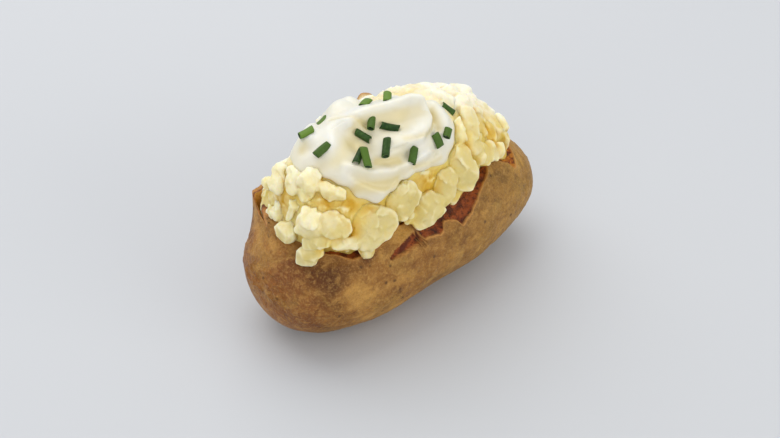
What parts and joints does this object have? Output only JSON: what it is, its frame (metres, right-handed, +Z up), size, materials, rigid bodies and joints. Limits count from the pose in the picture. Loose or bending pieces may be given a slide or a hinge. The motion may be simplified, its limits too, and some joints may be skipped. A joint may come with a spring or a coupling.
{
  "type": "loaded baked potato",
  "caption": "Baked potato split open along its top, with fluffed flesh heaped above the torn skin, a folded spoonful of sour cream and cut chives.",
  "frame": {"origin": "middle of the small flat spot the potato rests on", "axes": "+X along the potato towards its narrower end, +Y towards the side where the loose skin stands open, +Z up"},
  "size_m": [0.14, 0.0684, 0.1003],
  "materials": {
    "skin": "baked potato skin, mottled golden brown, part satin",
    "flesh": "fluffy cooked potato, matt with a little moisture",
    "cream": "sour cream, soft gloss"
  },
  "bodies": {
    "root": {"jacket": "skin", "flesh": "flesh", "sour_cream": "cream"}
  },
  "joints": []
}
